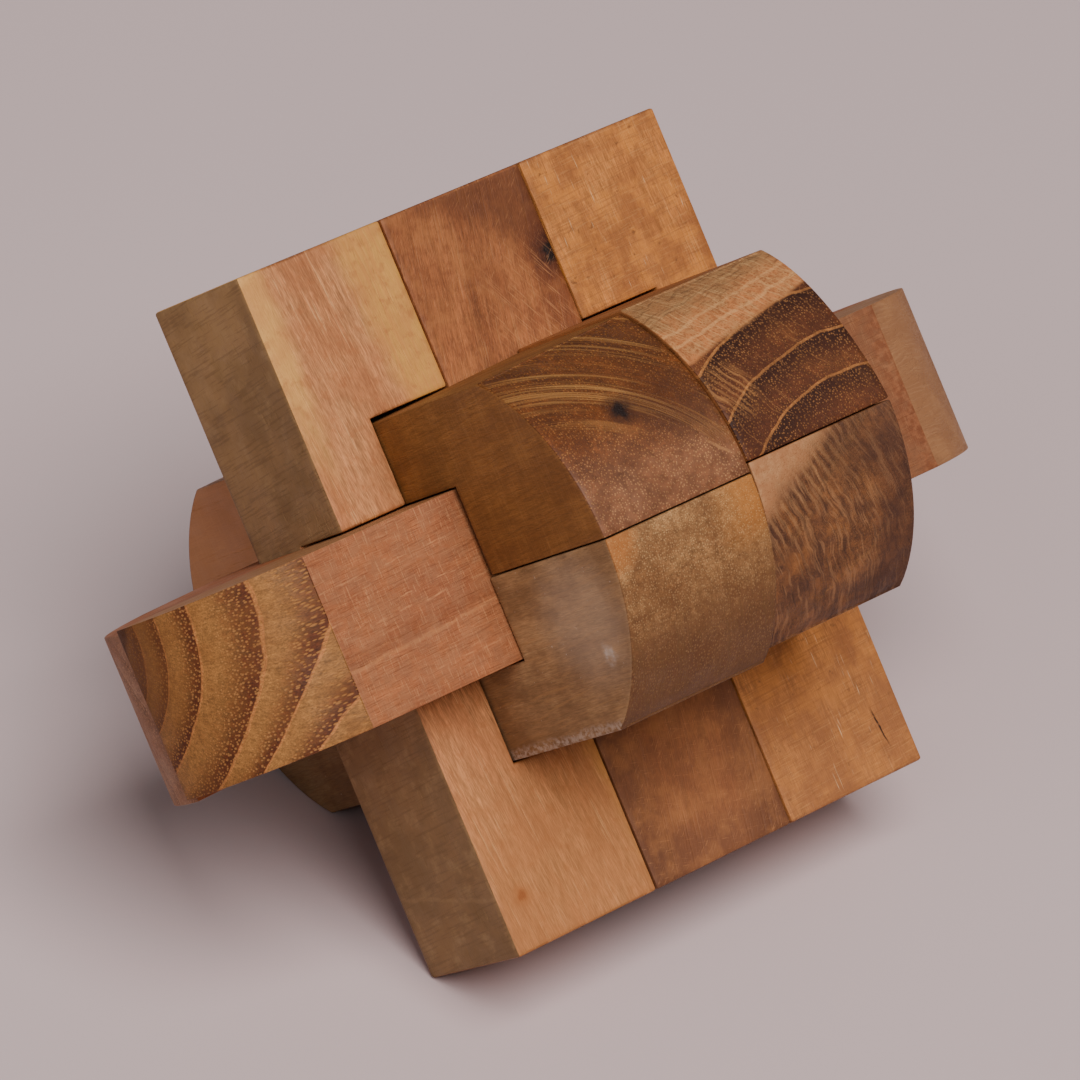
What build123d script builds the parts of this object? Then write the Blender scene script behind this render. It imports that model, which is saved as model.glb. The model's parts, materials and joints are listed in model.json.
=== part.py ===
from build123d import *
from math import acos, atan2, degrees, hypot
import os

# Wooden burr puzzle: nine interlocking bars in three crossing groups.
#
# The bars are cut in the puzzle's own frame:
#   X  along the two arm bars, the key above the lower arm
#   Y  along the three plate bars, which lie side by side
#   Z  along the four block bars, which stand in a square
# The assembled puzzle is then tipped about X into the pose in which it lies on a table,
# on one edge of the plate and on one rounded end of the block. The origin is under the
# middle of the puzzle, on the table.

# ---- driving dimensions, in millimetres ----
bar_width = 19.2            # sawn width of the plate bars and the arm bars
seam = 0.1                  # gap between neighbouring bars of one group
fit = 0.15                  # play between a bar and the slot it lies in
key_clearance = 0.1         # play under the sliding key
eased_edge = 0.4            # radius of the sanded long edges

plate_half_length = 38.6
plate_half_height = 9.1

arm_half_height = 17.9      # from the middle of the puzzle to the outer face of an arm
arm_flat_half = 39.8        # from the middle to where the rounded end starts
key_tip_half = 53.3         # from the middle to the top of the rounded end
key_offset = -0.2           # the key is not pushed quite home
lower_arm_tip_half = 52.5   # the lower arm is sanded a little shorter
lower_arm_offset = 0.3

block_half_x = 20.0
block_half_y = 19.35
block_flat_half = 30.1      # from the middle to where the rounded end starts
block_tip_half = 41.0       # from the middle to the top of the rounded end
block_shift = {"left": -0.3, "right": 0.8}  # each pair sits a little off the middle in Y
arm_slot_slack = {"back": 0.65, "front": 0.0}   # the back bars' slots are cut too deep
plate_notch_slack = {"left": 0.3, "right": 0.0} # play behind the left pair of block bars

side_sign = {"left": -1, "right": 1}
row_sign = {"back": 1, "front": -1}

# ---- worked out from the driving dimensions ----
half_bar = bar_width / 2
plate_pitch = bar_width + seam
plate_outer_x = plate_pitch + half_bar
slot_half_width = half_bar + fit            # slots across a plate bar or an arm bar
plate_slot_half_z = plate_half_height + fit
strip_inner_x = block_half_x + fit          # inner face of the strip beside the block
far = 200.0                                 # past the end of every bar


def box_between(low, high):
    """A box from its lowest to its highest corner."""
    size = [high[i] - low[i] for i in range(3)]
    middle = [(high[i] + low[i]) / 2 for i in range(3)]
    return Pos(*middle) * Box(*size)


def band(axis, low, high):
    """All of space between two planes across one axis (0, 1 or 2)."""
    corners = [[-far] * 3, [far] * 3]
    corners[0][axis] = low
    corners[1][axis] = high
    return box_between(*corners)


def sanded(bar, axis):
    """Ease the long edges of a bar."""
    return fillet(bar.edges().filter_by(axis), eased_edge)


def domed_outline(flat_half, tip_half, half_width):
    """A long outline with both ends rounded, its length along the plane's own x."""
    lower = Line((-flat_half, -half_width), (flat_half, -half_width))
    right = ThreePointArc((flat_half, -half_width), (tip_half, 0), (flat_half, half_width))
    upper = Line((flat_half, half_width), (-flat_half, half_width))
    left = ThreePointArc((-flat_half, half_width), (-tip_half, 0), (-flat_half, -half_width))
    return make_face([lower, right, upper, left])


def key_notch():
    """The slot across the top of the plate in which the key slides."""
    return band(1, -slot_half_width, slot_half_width) & band(2, 0, far)


def plate_blank(centre_x):
    """A plain rectangular plate bar."""
    low = (centre_x - half_bar, -plate_half_length, -plate_half_height)
    high = (centre_x + half_bar, plate_half_length, plate_half_height)
    return sanded(box_between(low, high), Axis.Y)


def plate_bar_middle():
    """The middle plate bar, halved on top where the key crosses it."""
    return plate_blank(0) - key_notch()


def plate_bar_outer(side):
    """An outer plate bar: only a thin strip of it runs past the block."""
    front_y = block_shift[side] - block_half_y - fit
    back_y = block_shift[side] + block_half_y + fit + plate_notch_slack[side]
    inner_x, outer_x = sorted((0, side_sign[side] * strip_inner_x))
    block_notch = band(0, inner_x, outer_x) & band(1, front_y, back_y)
    return plate_blank(side_sign[side] * plate_pitch) - block_notch - key_notch()


def arm_blank(tip_half, offset, low_z, high_z):
    """A straight arm bar, cut from a shape whose rounded ends are as high as both arms."""
    outline = domed_outline(arm_flat_half, tip_half, arm_half_height)
    both_arms = extrude(Plane.XZ * outline, amount=half_bar, both=True)
    arm = (Pos(offset, 0, 0) * both_arms) & band(2, low_z, high_z)
    return sanded(arm, Axis.X)


def key_bar():
    """The plain bar that slides out first and so unlocks the puzzle."""
    return arm_blank(key_tip_half, key_offset, key_clearance, arm_half_height)


def lower_arm_bar():
    """The lower arm, halved on top where the three plate bars cross it."""
    arm = arm_blank(lower_arm_tip_half, lower_arm_offset, -arm_half_height, -key_clearance)
    strip_slot = (block_half_x, plate_outer_x + fit)
    slots = [
        (-slot_half_width, slot_half_width),
        strip_slot,
        (-strip_slot[1], -strip_slot[0]),
    ]
    for low_x, high_x in slots:
        arm -= band(0, low_x, high_x) & band(2, -plate_slot_half_z, far)
    return arm


def block_bar(row, side):
    """A block bar: a thick domed piece at each end and a thin neck between them."""
    standing = Plane(origin=(0, 0, 0), x_dir=(0, 0, 1), z_dir=(1, 0, 0))
    outline = domed_outline(block_flat_half, block_tip_half, block_half_y)
    whole_block = extrude(standing * outline, amount=block_half_x, both=True)
    whole_block = Pos(0, block_shift[side], 0) * whole_block
    low_x, high_x = sorted((side_sign[side] * seam / 2, side_sign[side] * far))
    seam_y = block_shift[side] + row_sign[row] * seam / 2
    low_y, high_y = sorted((seam_y, row_sign[row] * far))
    bar = sanded(whole_block & band(0, low_x, high_x) & band(1, low_y, high_y), Axis.Z)
    arm_slot_half_z = arm_half_height + fit + arm_slot_slack[row]
    arm_slot = band(1, -slot_half_width, slot_half_width)
    arm_slot &= band(2, -arm_slot_half_z, arm_slot_half_z)
    plate_slot = band(0, -slot_half_width, slot_half_width)
    plate_slot &= band(2, -plate_slot_half_z, plate_slot_half_z)
    return bar - arm_slot - plate_slot


def resting_tilt():
    """The tip about X, in degrees, at which plate edge and rounded end are level."""
    rise = block_tip_half - block_flat_half
    radius = (block_half_y ** 2 + rise ** 2) / (2 * rise)
    from_dome_y = plate_half_length + min(block_shift.values())
    from_dome_z = plate_half_height - (block_tip_half - radius)
    distance = hypot(from_dome_y, from_dome_z)
    return degrees(atan2(from_dome_y, from_dome_z) - acos(radius / distance))


def make_puzzle():
    """Every bar by name, in the puzzle's own frame."""
    bars = {
        "key_bar": key_bar(),
        "lower_arm_bar": lower_arm_bar(),
        "plate_bar_middle": plate_bar_middle(),
    }
    for side in side_sign:
        bars["plate_bar_" + side] = plate_bar_outer(side)
        for row in row_sign:
            bars["block_bar_" + row + "_" + side] = block_bar(row, side)
    return bars


def laid_down(bars):
    """Tip the puzzle into its resting pose and set it on the table over the origin."""
    tip = Rot(resting_tilt(), 0, 0)
    tipped = {name: tip * bar.solid() for name, bar in bars.items()}
    bounds = Compound(list(tipped.values())).bounding_box()
    middle = bounds.center()
    to_origin = Pos(-middle.X, -middle.Y, -bounds.min.Z)
    return {name: to_origin * bar for name, bar in tipped.items()}


os.makedirs("parts", exist_ok=True)
for name, bar in laid_down(make_puzzle()).items():
    export_step(bar, "parts/" + name + ".step")
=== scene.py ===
import json
import math
import random

import bmesh
import bpy
from mathutils import Matrix, Vector, noise


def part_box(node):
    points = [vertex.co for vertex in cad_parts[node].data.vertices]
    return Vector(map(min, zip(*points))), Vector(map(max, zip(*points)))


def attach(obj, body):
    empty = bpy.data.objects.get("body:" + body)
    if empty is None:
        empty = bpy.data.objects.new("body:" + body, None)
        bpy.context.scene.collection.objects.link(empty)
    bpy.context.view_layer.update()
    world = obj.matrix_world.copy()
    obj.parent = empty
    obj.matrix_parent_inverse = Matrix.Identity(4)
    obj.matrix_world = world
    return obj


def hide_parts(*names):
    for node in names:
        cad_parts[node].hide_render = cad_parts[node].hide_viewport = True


# Wooden burr puzzle. Every bar is remodelled as its own mesh in the puzzle's own frame, in
# millimetres: X along the arms, Y along the plate bars, Z along the block bars. A last turn
# then lays it down as the frame has it.

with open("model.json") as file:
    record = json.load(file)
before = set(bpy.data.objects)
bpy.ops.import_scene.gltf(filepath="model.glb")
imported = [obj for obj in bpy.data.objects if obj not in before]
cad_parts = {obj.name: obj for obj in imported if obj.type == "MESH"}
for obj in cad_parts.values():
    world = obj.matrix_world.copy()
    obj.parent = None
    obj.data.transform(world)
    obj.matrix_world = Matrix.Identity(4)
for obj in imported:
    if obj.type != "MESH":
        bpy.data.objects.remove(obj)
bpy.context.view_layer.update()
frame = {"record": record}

MM = 0.001
X, Y, Z = 0, 1, 2

# ---- driving dimensions, in millimetres, as the bars are cut ----
BAR = 19.2
SEAM = 0.1
FIT = 0.15
KEY_CLEARANCE = 0.1
PLATE_LENGTH = 38.6
PLATE_HEIGHT = 9.1
ARM_HEIGHT = 17.9
ARM_FLAT = 39.8
KEY_TIP = 53.3
KEY_OFFSET = -0.2
LOWER_ARM_TIP = 52.5
LOWER_ARM_OFFSET = 0.3
BLOCK_X = 20.0
BLOCK_Y = 19.35
BLOCK_FLAT = 30.1
BLOCK_TIP = 41.0
BLOCK_SHIFT = {"left": -0.3, "right": 0.8}
ARM_SLOT_SLACK = {"back": 0.65, "front": 0.0}
PLATE_NOTCH_SLACK = {"left": 0.3, "right": 0.0}
SIDES = {"left": -1, "right": 1}
ROWS = {"back": 1, "front": -1}
FAR = 200.0

SLOT = BAR / 2 + FIT
PLATE_PITCH = BAR + SEAM
PLATE_EDGE = PLATE_PITCH + BAR / 2

CELL = 0.8              # size of the mesh's squares
ARRIS = 0.32            # width of the worn long edges
WARP = 0.05             # how far the sawn faces wander
WARP_PACE = 0.09        # waves of that wandering per millimetre
CHIP = 0.34             # depth of the nicks along the edges
NICK_PACES = 0.35, 1.3  # long and short nicks per millimetre
EDGE_ANGLE = 45         # degrees between faces that makes an edge to ease
CREASE_ANGLE = 40       # degrees above which shading stays crisp
DOME_CLEARANCE = 1.0    # rounding starts this far past the slots
TAPER = 0.75            # how much wider the back left bar is at the middle of the block
FLATTENED = 0.8         # how much the outer edge of the back right bar's dome is sanded down
ARM_DROOP = 0.6         # how far the left end of the lower arm is bent towards the front


# ---------------------------------------------------------------- shapes


def puzzle_to_row():
    """The matrix that lays the puzzle, modelled in its own frame in metres, where the CAD is."""
    rest = next(m for m in frame["record"]["mounts"] if m["name"] == "plate_end_rest")
    along_plate = -Vector(rest["axis"])
    along_arms = Vector((1, 0, 0))
    up_block = along_arms.cross(along_plate)
    low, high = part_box("plate_bar_middle")
    turn = Matrix((along_arms, along_plate, up_block)).transposed().to_4x4()
    return Matrix.Translation((low + high) / 2) @ turn


PUZZLE_TO_ROW = puzzle_to_row()


def lines(low, high, cuts):
    """Where the mesh's lines cross one axis: at each cut, and about a cell apart between."""
    stops = sorted({low, high} | {c for c in cuts if low < c < high})
    found = [low]
    for start, stop in zip(stops, stops[1:]):
        count = max(1, round((stop - start) / CELL))
        found += [start + (stop - start) * (i + 1) / count for i in range(count)]
    return found


def inside(point, box):
    return all(box[0][i] < point[i] < box[1][i] for i in range(3))


def carved_mesh(low, high, notches):
    """A closed grid of squares over a box with other boxes cut out of it."""
    grid = [lines(low[i], high[i], [n[end][i] for n in notches for end in (0, 1)]) for i in range(3)]
    count = [len(g) - 1 for g in grid]
    middle = [[(a + b) / 2 for a, b in zip(g, g[1:])] for g in grid]
    solid = set()
    for i in range(count[X]):
        for j in range(count[Y]):
            for k in range(count[Z]):
                centre = (middle[X][i], middle[Y][j], middle[Z][k])
                if not any(inside(centre, notch) for notch in notches):
                    solid.add((i, j, k))
    mesh = bmesh.new()
    corners = {}

    def corner(index):
        if index not in corners:
            corners[index] = mesh.verts.new([grid[axis][index[axis]] for axis in range(3)])
        return corners[index]

    for cell in sorted(solid):
        for axis in range(3):
            for way in (0, 1):
                beside = list(cell)
                beside[axis] += 2 * way - 1
                if tuple(beside) in solid:
                    continue
                across, up = (axis + 1) % 3, (axis + 2) % 3
                loop = []
                for step_across, step_up in ((0, 0), (1, 0), (1, 1), (0, 1)):
                    index = list(cell)
                    index[axis] += way
                    index[across] += step_across
                    index[up] += step_up
                    loop.append(corner(tuple(index)))
                mesh.faces.new(loop if way else reversed(loop))
    mesh.normal_update()
    return mesh


def sharp_edges(mesh):
    """The outward edges, where two faces of the bar meet at a corner."""
    return [e for e in mesh.edges if len(e.link_faces) == 2 and e.is_convex
            and e.calc_face_angle() > math.radians(EDGE_ANGLE)]


def dome(mesh, along, across, start, flat, tip, half_chord, centre_along=0.0, centre_across=0.0):
    """Round both ends of a bar: what lies past start is drawn in under an arc."""
    rise = tip - flat
    radius = (half_chord ** 2 + rise ** 2) / (2 * rise)
    for vert in mesh.verts:
        reach = vert.co[along] - centre_along
        if abs(reach) <= start:
            continue
        off = min(abs(vert.co[across] - centre_across), half_chord)
        height = tip - radius + math.sqrt(radius ** 2 - off ** 2)
        drawn = start + (abs(reach) - start) * (height - start) / (tip - start)
        vert.co[along] = centre_along + math.copysign(drawn, reach)


def wear(mesh, seed):
    """Ease the edges, nick them here and there, and let the sawn faces wander a little."""
    eased = bmesh.ops.bevel(mesh, geom=sharp_edges(mesh), offset=ARRIS, offset_type="OFFSET",
                            segments=2, profile=0.5, affect="EDGES", clamp_overlap=True)
    worn = {v for face in eased["faces"] for v in face.verts}
    layer = mesh.verts.layers.float.new("edge_wear")
    mesh.normal_update()
    shift = Vector((seed * 37.1, seed * 11.7, seed * 5.3))
    moves = []
    for vert in mesh.verts:
        spot = vert.co + shift
        inward = WARP * (0.6 + 0.4 * noise.noise(spot * WARP_PACE))
        if vert in worn:
            vert[layer] = 1.0
            nick = noise.noise(spot * NICK_PACES[0]) + 0.6 * noise.noise(spot * NICK_PACES[1])
            inward += CHIP * max(0.0, nick - 0.2)
        moves.append((vert, vert.normal * -inward))
    for vert, move in moves:
        vert.co += move
    for face in mesh.faces:
        face.smooth = True
    for edge in mesh.edges:
        if len(edge.link_faces) == 2 and edge.calc_face_angle() > math.radians(CREASE_ANGLE):
            edge.smooth = False


def make_piece(name, mesh, seed):
    """Wear a bar's mesh and turn it into the piece that stands for its CAD node."""
    wear(mesh, seed)
    bmesh.ops.scale(mesh, vec=(MM, MM, MM), verts=mesh.verts)
    bmesh.ops.transform(mesh, matrix=PUZZLE_TO_ROW, verts=mesh.verts)
    data = bpy.data.meshes.new(name + "_wood")
    mesh.to_mesh(data)
    mesh.free()
    piece = bpy.data.objects.new(name + "_wood", data)
    bpy.context.scene.collection.objects.link(piece)
    return piece


def slab(axis, low, high):
    """All of space between two planes across one axis."""
    corners = [[-FAR] * 3, [FAR] * 3]
    corners[0][axis] = low
    corners[1][axis] = high
    return corners


def overlap(a, b):
    return [[max(a[0][i], b[0][i]) for i in range(3)], [min(a[1][i], b[1][i]) for i in range(3)]]


def key_notch():
    return overlap(slab(Y, -SLOT, SLOT), slab(Z, 0, FAR))


def plate_mesh(centre_x, notches):
    low = (centre_x - BAR / 2, -PLATE_LENGTH, -PLATE_HEIGHT)
    high = (centre_x + BAR / 2, PLATE_LENGTH, PLATE_HEIGHT)
    return carved_mesh(low, high, notches)


def outer_plate_mesh(side):
    front = BLOCK_SHIFT[side] - BLOCK_Y - FIT
    back = BLOCK_SHIFT[side] + BLOCK_Y + FIT + PLATE_NOTCH_SLACK[side]
    inner, outer = sorted((0, SIDES[side] * (BLOCK_X + FIT)))
    beside_block = overlap(slab(X, inner, outer), slab(Y, front, back))
    return plate_mesh(SIDES[side] * PLATE_PITCH, [beside_block, key_notch()])


def arm_mesh(tip, offset, low_z, high_z, notches):
    low = (offset - tip, -BAR / 2, low_z)
    high = (offset + tip, BAR / 2, high_z)
    mesh = carved_mesh(low, high, notches)
    start = PLATE_EDGE + 2 * FIT + abs(offset)
    dome(mesh, X, Z, start, ARM_FLAT, tip, ARM_HEIGHT, centre_along=offset)
    return mesh


def lower_arm_notches():
    strip = (BLOCK_X, PLATE_EDGE + FIT)
    spans = [(-SLOT, SLOT), strip, (-strip[1], -strip[0])]
    cut = slab(Z, -PLATE_HEIGHT - FIT, FAR)
    return [overlap(slab(X, a, b), cut) for a, b in spans]


def lower_arm_mesh():
    mesh = arm_mesh(LOWER_ARM_TIP, LOWER_ARM_OFFSET, -ARM_HEIGHT, -KEY_CLEARANCE, lower_arm_notches())
    for vert in mesh.verts:
        past_plate = max(0.0, -vert.co.x - PLATE_EDGE - DOME_CLEARANCE) / (LOWER_ARM_TIP - PLATE_EDGE)
        vert.co.y -= ARM_DROOP * past_plate
    return mesh


def block_mesh(row, side):
    shift = BLOCK_SHIFT[side]
    x = sorted((SIDES[side] * SEAM / 2, SIDES[side] * BLOCK_X))
    y = sorted((shift + ROWS[row] * SEAM / 2, shift + ROWS[row] * BLOCK_Y))
    slot_height = ARM_HEIGHT + FIT + ARM_SLOT_SLACK[row]
    arm_slot = overlap(slab(Y, -SLOT, SLOT), slab(Z, -slot_height, slot_height))
    plate_slot_height = PLATE_HEIGHT + FIT
    plate_slot = overlap(slab(X, -SLOT, SLOT), slab(Z, -plate_slot_height, plate_slot_height))
    mesh = carved_mesh((x[0], y[0], -BLOCK_TIP), (x[1], y[1], BLOCK_TIP), [arm_slot, plate_slot])
    dome(mesh, Z, Y, slot_height + DOME_CLEARANCE, BLOCK_FLAT, BLOCK_TIP, BLOCK_Y, centre_across=shift)
    if (row, side) == ("back", "left"):
        for vert in mesh.verts:
            vert.co.y += TAPER * (1 + vert.co.x / BLOCK_X) * max(0.0, vert.co.y / BLOCK_Y)
    if (row, side) == ("back", "right"):
        for vert in mesh.verts:
            if vert.co.z > BLOCK_FLAT:
                swell = math.sin(math.pi * min(1.0, (vert.co.y - shift) / BLOCK_Y))
                vert.co.z -= FLATTENED * swell * vert.co.x / BLOCK_X
    return mesh


def bar_meshes():
    """Every bar's unworn mesh, by the name of its CAD node."""
    found = {
        "key_bar": arm_mesh(KEY_TIP, KEY_OFFSET, KEY_CLEARANCE, ARM_HEIGHT, []),
        "lower_arm_bar": lower_arm_mesh(),
        "plate_bar_left": outer_plate_mesh("left"),
        "plate_bar_middle": plate_mesh(0, [key_notch()]),
        "plate_bar_right": outer_plate_mesh("right"),
    }
    for row in ROWS:
        for side in SIDES:
            found["block_bar_" + row + "_" + side] = block_mesh(row, side)
    return found


# ---------------------------------------------------------------- materials


def tone(red, green, blue):
    """A colour given as it looks on a screen, from 0 to 255, as the shader wants it."""
    def linear(value):
        share = value / 255
        return share / 12.92 if share <= 0.04045 else ((share + 0.055) / 1.055) ** 2.4
    return (linear(red), linear(green), linear(blue), 1.0)


class Graph:
    """Writes the nodes of one material. A value may be a number, a colour or another socket."""

    def __init__(self, name):
        self.material = bpy.data.materials.new(name)
        self.material.use_nodes = True
        self.tree = self.material.node_tree
        self.tree.nodes.clear()

    def node(self, kind, **settings):
        made = self.tree.nodes.new(kind)
        for key, value in settings.items():
            setattr(made, key, value)
        return made

    def feed(self, socket, value):
        if isinstance(value, bpy.types.NodeSocket):
            self.tree.links.new(value, socket)
        else:
            socket.default_value = value

    def math(self, operation, a, b=0.0, clamp=False):
        made = self.node("ShaderNodeMath", operation=operation, use_clamp=clamp)
        self.feed(made.inputs[0], a)
        self.feed(made.inputs[1], b)
        return made.outputs[0]

    def add(self, a, b):
        return self.math("ADD", a, b)

    def times(self, first, *others):
        for other in others:
            first = self.math("MULTIPLY", first, other)
        return first

    def vector(self, operation, a, b):
        made = self.node("ShaderNodeVectorMath", operation=operation)
        self.feed(made.inputs[0], a)
        if operation == "SCALE":
            self.feed(made.inputs["Scale"], b)
        else:
            self.feed(made.inputs[1], b)
        return made.outputs[1 if operation in ("LENGTH", "DISTANCE", "DOT_PRODUCT") else 0]

    def combine(self, x, y, z):
        made = self.node("ShaderNodeCombineXYZ")
        for socket, value in zip(made.inputs, (x, y, z)):
            self.feed(socket, value)
        return made.outputs[0]

    def separate(self, vector):
        made = self.node("ShaderNodeSeparateXYZ")
        self.feed(made.inputs[0], vector)
        return list(made.outputs)

    def noise(self, at, scale=1.0, detail=2.0, roughness=0.5, distortion=0.0):
        made = self.node("ShaderNodeTexNoise")
        self.feed(made.inputs["Vector"], at)
        made.inputs["Scale"].default_value = scale
        made.inputs["Detail"].default_value = detail
        made.inputs["Roughness"].default_value = roughness
        made.inputs["Distortion"].default_value = distortion
        return made.outputs["Fac"]

    def spots(self, at):
        """Distance to the nearest of points scattered over a plane, and that point's lot, 0 to 1."""
        made = self.node("ShaderNodeTexVoronoi", voronoi_dimensions="2D")
        self.feed(made.inputs["Vector"], at)
        made.inputs["Scale"].default_value = 1.0
        return made.outputs["Distance"], self.separate(made.outputs["Color"])[0]

    def ramp(self, value, stops):
        """Colours or greys over a value from 0 to 1. stops are (place, colour or grey)."""
        made = self.node("ShaderNodeValToRGB")
        self.feed(made.inputs[0], value)
        elements = made.color_ramp.elements
        while len(elements) > 1:
            elements.remove(elements[-1])
        for index, (place, shade) in enumerate(stops):
            element = elements[0] if index == 0 else elements.new(place)
            element.position = place
            element.color = shade if isinstance(shade, tuple) else (shade, shade, shade, 1)
        return made.outputs["Color"]

    def span(self, value, low, high, to_low=0.0, to_high=1.0):
        """Smoothly from to_low to to_high as value goes from low to high."""
        made = self.node("ShaderNodeMapRange", interpolation_type="SMOOTHSTEP")
        self.feed(made.inputs["Value"], value)
        made.inputs["From Min"].default_value = low
        made.inputs["From Max"].default_value = high
        made.inputs["To Min"].default_value = to_low
        made.inputs["To Max"].default_value = to_high
        return made.outputs["Result"]

    def mix(self, share, a, b, blend="MIX"):
        made = self.node("ShaderNodeMix", data_type="RGBA", blend_type=blend)
        self.feed(made.inputs[0], share)
        self.feed(made.inputs[6], a)
        self.feed(made.inputs[7], b)
        return made.outputs[2]


class Wood:
    """Solid wood, the same pattern through the whole bar, so faces and end grain agree.

    grain      the axis along the fibres
    pith       the tree's middle, in the two axes across the grain
    rings      radii of growth lines round the pith
    slope      how far the fibres drift across, in each of those axes, per unit along
    side, end  palettes (pale line, light wood, dark wood, pores) of side faces and end grain
    show       how strongly the rings show, on side faces and on end grain
    fibre      how strongly the fine fibres show, likewise
    pores      how strongly the pores show, likewise
    crowd      share of the pores that are open, in the light and in the dark wood
    """

    def __init__(self, name, grain, pith, rings, side, end, slope=(0.0, 0.0), seed=0.0,
                 wobble=0.6, show=(0.6, 1.0), pore_gap=0.42, pores=(0.3, 0.8), crowd=(0.4, 0.95),
                 fibre=(0.16, 0.2), mottle=0.3, rays=0.1):
        self.g = g = Graph(name)
        self.seed = seed
        across = [axis for axis in (X, Y, Z) if axis != grain]
        place = g.node("ShaderNodeTexCoord")
        self.at = self.in_puzzle(place.outputs["Object"], "POINT", 1 / MM)
        self.facing = g.separate(self.in_puzzle(place.outputs["Normal"], "VECTOR", 1.0))
        self.on_end = g.span(g.math("ABSOLUTE", self.facing[grain]), 0.14, 0.3)
        self.on_side = g.math("SUBTRACT", 1.0, self.on_end)
        xyz = g.separate(self.at)
        along = xyz[grain]
        a = g.add(xyz[across[0]], g.times(along, slope[0]))
        b = g.add(xyz[across[1]], g.times(along, slope[1]))
        self.a, self.b = a, b
        moved = g.vector("ADD", g.combine(a, b, g.times(along, 0.1)), (seed * 17, seed * 9, seed * 5))
        self.streaks = g.noise(moved, scale=1.6, detail=3, roughness=0.65)
        self.fine = g.noise(moved, scale=7.0, detail=2, roughness=0.75)
        broad = g.noise(moved, scale=0.16, detail=3, distortion=0.4)

        drift = g.noise(moved, scale=0.06, detail=1)
        ripple = g.noise(moved, scale=0.45, detail=2)
        wander = g.add(self.around_zero(drift, 6 * wobble), self.around_zero(ripple, 1.4 * wobble))
        radius = g.vector("DISTANCE", g.combine(a, b, 0.0), (pith[0], pith[1], 0.0))
        self.radius = g.add(radius, wander)
        self.phase = self.ring_phase(self.radius, rings)
        ripened = g.add(self.phase, self.around_zero(self.streaks, 0.55))
        dark_share = g.span(ripened, 0.22, 0.9)
        line = g.span(self.phase, 0.93, 0.96)

        bodies = []
        for palette, strength in zip((side, end), show):
            pale, light, dark, _ = palette
            body = g.mix(g.times(dark_share, strength), light, dark)
            body = g.mix(g.times(g.span(broad, 0.42, 0.68), mottle), body, dark)
            body = g.mix(g.times(g.span(broad, 0.45, 0.25), mottle * 0.6), body, pale)
            bodies.append(g.mix(g.times(line, strength * 0.85), body, pale))
        self.colour = g.mix(self.on_end, bodies[0], bodies[1])
        self.shade(self.streaks, self.by_face(fibre[0] * 0.7, fibre[1] * 0.7))
        self.shade(self.fine, self.by_face(fibre[0], fibre[1]))
        angle = g.math("ARCTAN2", g.math("SUBTRACT", b, pith[1]), g.math("SUBTRACT", a, pith[0]))
        spokes = g.combine(g.times(angle, 26.0), g.times(radius, 0.35), seed)
        self.shade(g.noise(spokes, scale=3.0, detail=2, roughness=0.7), g.times(self.on_end, rays))

        self.pores = self.pore_mask(pore_gap, crowd)
        pore_tone = g.mix(self.on_end, side[3], end[3])
        self.tint(g.times(self.pores, self.by_face(*pores)), pore_tone)
        self.height = g.times(self.pores, -0.5)

    def in_puzzle(self, vector, kind, scale):
        """A place or direction of the laid-down puzzle, turned back into its own frame."""
        back = PUZZLE_TO_ROW.inverted()
        turn = self.g.node("ShaderNodeMapping", vector_type=kind)
        self.g.feed(turn.inputs["Vector"], vector)
        turn.inputs["Rotation"].default_value = back.to_euler()
        turn.inputs["Scale"].default_value = (scale, scale, scale)
        if kind == "POINT":
            turn.inputs["Location"].default_value = back.translation / MM
        return turn.outputs[0]

    def around_zero(self, value, size):
        """A noise value spread evenly about zero."""
        return self.g.times(self.g.math("SUBTRACT", value, 0.5), size)

    def by_face(self, on_side, on_end):
        """One strength on side faces, another on end grain."""
        return self.g.add(self.g.times(self.on_end, on_end - on_side), on_side)

    def shade(self, value, amount):
        """Darken and lighten with a noise value."""
        swing = self.g.times(self.g.span(value, 0.25, 0.75, -1.0, 1.0), amount)
        grey = self.g.add(swing, 1.0)
        self.colour = self.g.mix(1.0, self.colour, self.g.combine(grey, grey, grey), "MULTIPLY")

    def tint(self, share, colour):
        self.colour = self.g.mix(share, self.colour, colour)

    def ring_phase(self, radius, rings):
        """0 just outside a growth line, rising to 1 at the next one out."""
        low, high = rings[0], rings[-1]
        years = len(rings) - 1
        stops = [((ring - low) / (high - low), year / years) for year, ring in enumerate(rings)]
        share = self.g.math("DIVIDE", self.g.math("SUBTRACT", radius, low), high - low)
        age = self.g.separate(self.g.ramp(share, stops))[0]
        return self.g.math("FRACT", self.g.times(age, years))

    def pore_mask(self, gap, crowd):
        """Fine tubes along the grain: dots on the end grain, short streaks on the sides."""
        g = self.g
        distance, pick = g.spots(g.combine(g.times(self.a, 1 / gap), g.times(self.b, 1 / gap), 0.0))
        present = g.math("LESS_THAN", pick, g.span(self.phase, 0.15, 0.7, *crowd))
        width = g.add(g.times(pick, 0.16), 0.19)
        tubes = g.times(g.span(g.math("SUBTRACT", width, distance), -0.08, 0.12), present)
        return g.times(tubes, g.math("MAXIMUM", self.on_end, g.span(self.streaks, 0.5, 0.58)))

    def score(self, share, colour):
        """A shallow groove of another colour."""
        self.tint(share, colour)
        self.height = self.g.add(self.height, self.g.times(share, -0.25))

    def marks(self, field, coverage, amount, mask):
        """Streaks where a noise along a field's lines rises over coverage: more of it, fewer marks."""
        g = self.g
        field = g.vector("ADD", field, (self.seed, coverage * 40, self.seed * 3))
        found = g.span(g.noise(field, detail=2, roughness=0.65), coverage, coverage + 0.14)
        return g.times(found, amount, mask)

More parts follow.
